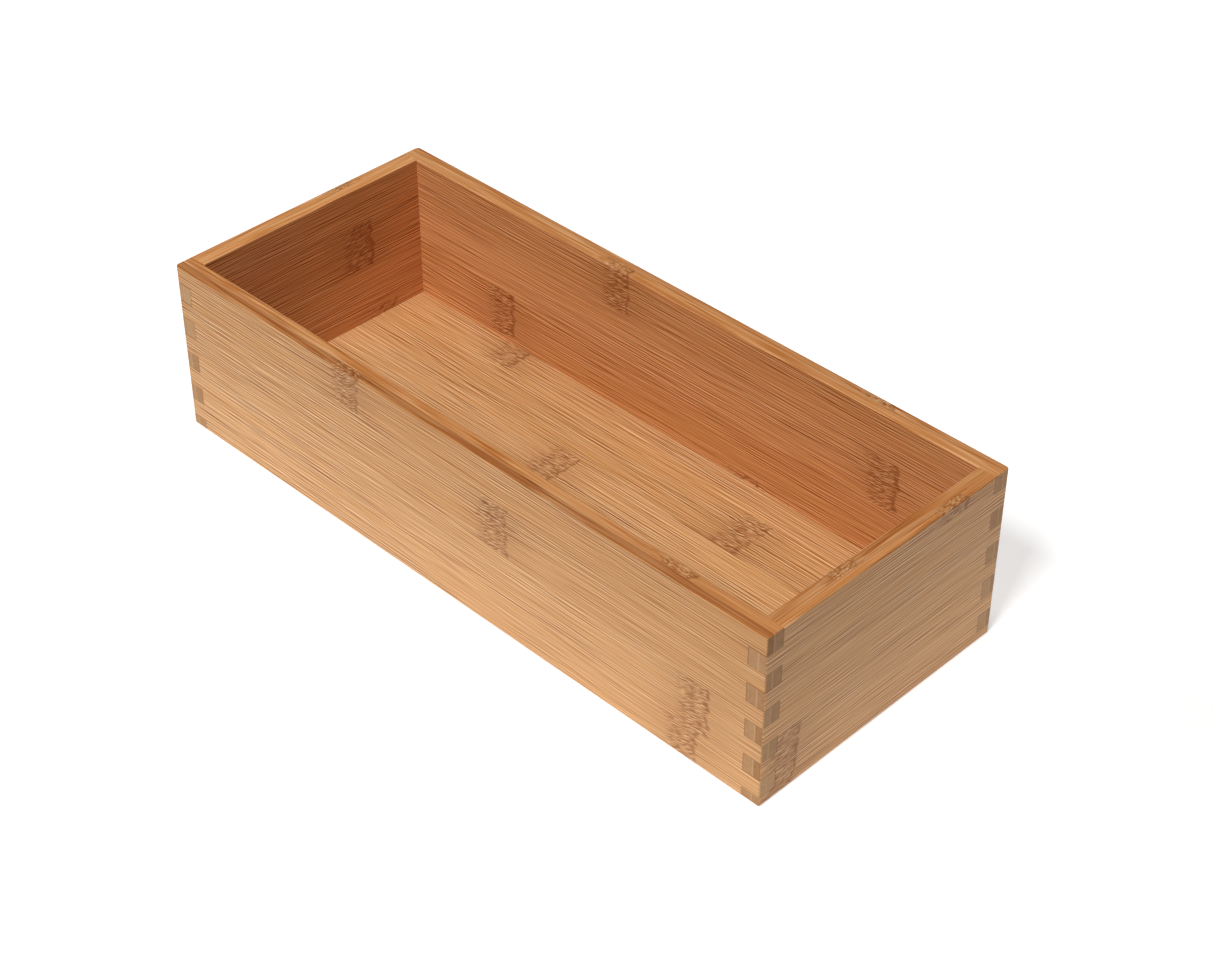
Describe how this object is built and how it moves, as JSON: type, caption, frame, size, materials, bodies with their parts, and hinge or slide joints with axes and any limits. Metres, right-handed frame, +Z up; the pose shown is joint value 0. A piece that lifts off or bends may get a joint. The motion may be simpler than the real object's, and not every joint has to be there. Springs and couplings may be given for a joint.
{
  "type": "desk organizer",
  "caption": "Open-topped rectangular bamboo desk organizer box with finger-jointed corners and a bottom panel held in grooves.",
  "frame": {"origin": "centre of the box's underside, in the plane that it stands on", "axes": "+X along the length, towards the right wall; +Y across the width, towards the back wall; +Z up"},
  "size_m": [0.3048, 0.1248, 0.0754],
  "materials": {
    "bamboo_board": "two-ply flat-pressed bamboo, satin clear lacquer",
    "bamboo_panel": "thin bamboo board, satin clear lacquer"
  },
  "bodies": {
    "root": {"front_wall": "bamboo_board", "back_wall": "bamboo_board", "left_wall": "bamboo_board", "right_wall": "bamboo_board", "bottom_panel": "bamboo_panel"}
  },
  "joints": []
}
